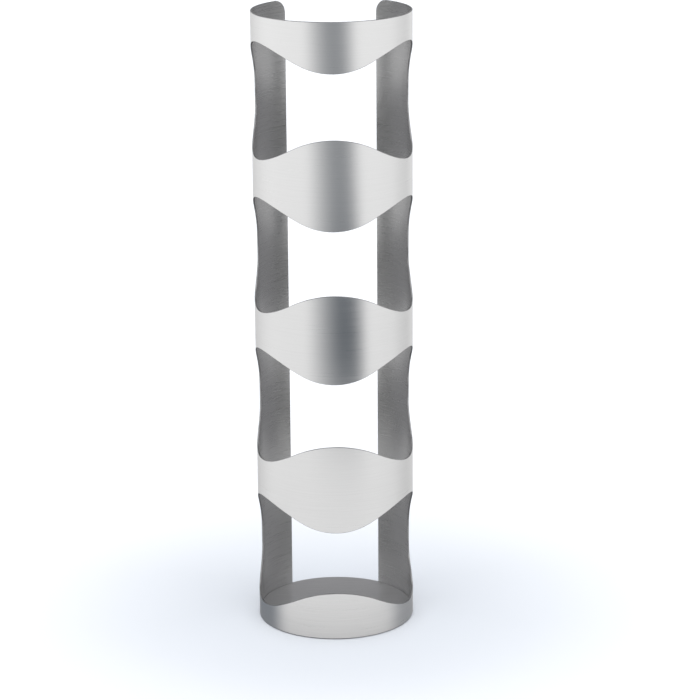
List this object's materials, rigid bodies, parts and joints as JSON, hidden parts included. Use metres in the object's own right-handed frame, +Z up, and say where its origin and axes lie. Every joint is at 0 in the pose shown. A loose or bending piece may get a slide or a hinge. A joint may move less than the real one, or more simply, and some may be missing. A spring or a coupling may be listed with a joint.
{
  "type": "wine rack",
  "caption": "Free-standing tower wine rack: one rolled sheet of brushed steel, open at the back, with wavy slots that hold bottles lying across it.",
  "frame": {"origin": "on the floor, on the axis of the tube", "axes": "+Z up along the tube; -Y is the front, where the slots open between the bands; +Y is the open back; +X is to the right seen from the front"},
  "size_m": [0.114, 0.114, 0.4505],
  "materials": {
    "brushed_shell": "fine brushed stainless steel, satin, grain round the tube",
    "plate_steel": "rolled stainless steel plate, satin",
    "weld_steel": "tack weld, rippled, slightly heat-tinted",
    "foot_rubber": "matt black rubber"
  },
  "bodies": {
    "root": {"rack_shell": "brushed_shell", "base_plate": "plate_steel", "tack_welds": "weld_steel", "foot_front_left": "foot_rubber", "foot_front_right": "foot_rubber", "foot_rear_left": "foot_rubber", "foot_rear_right": "foot_rubber"}
  },
  "joints": []
}
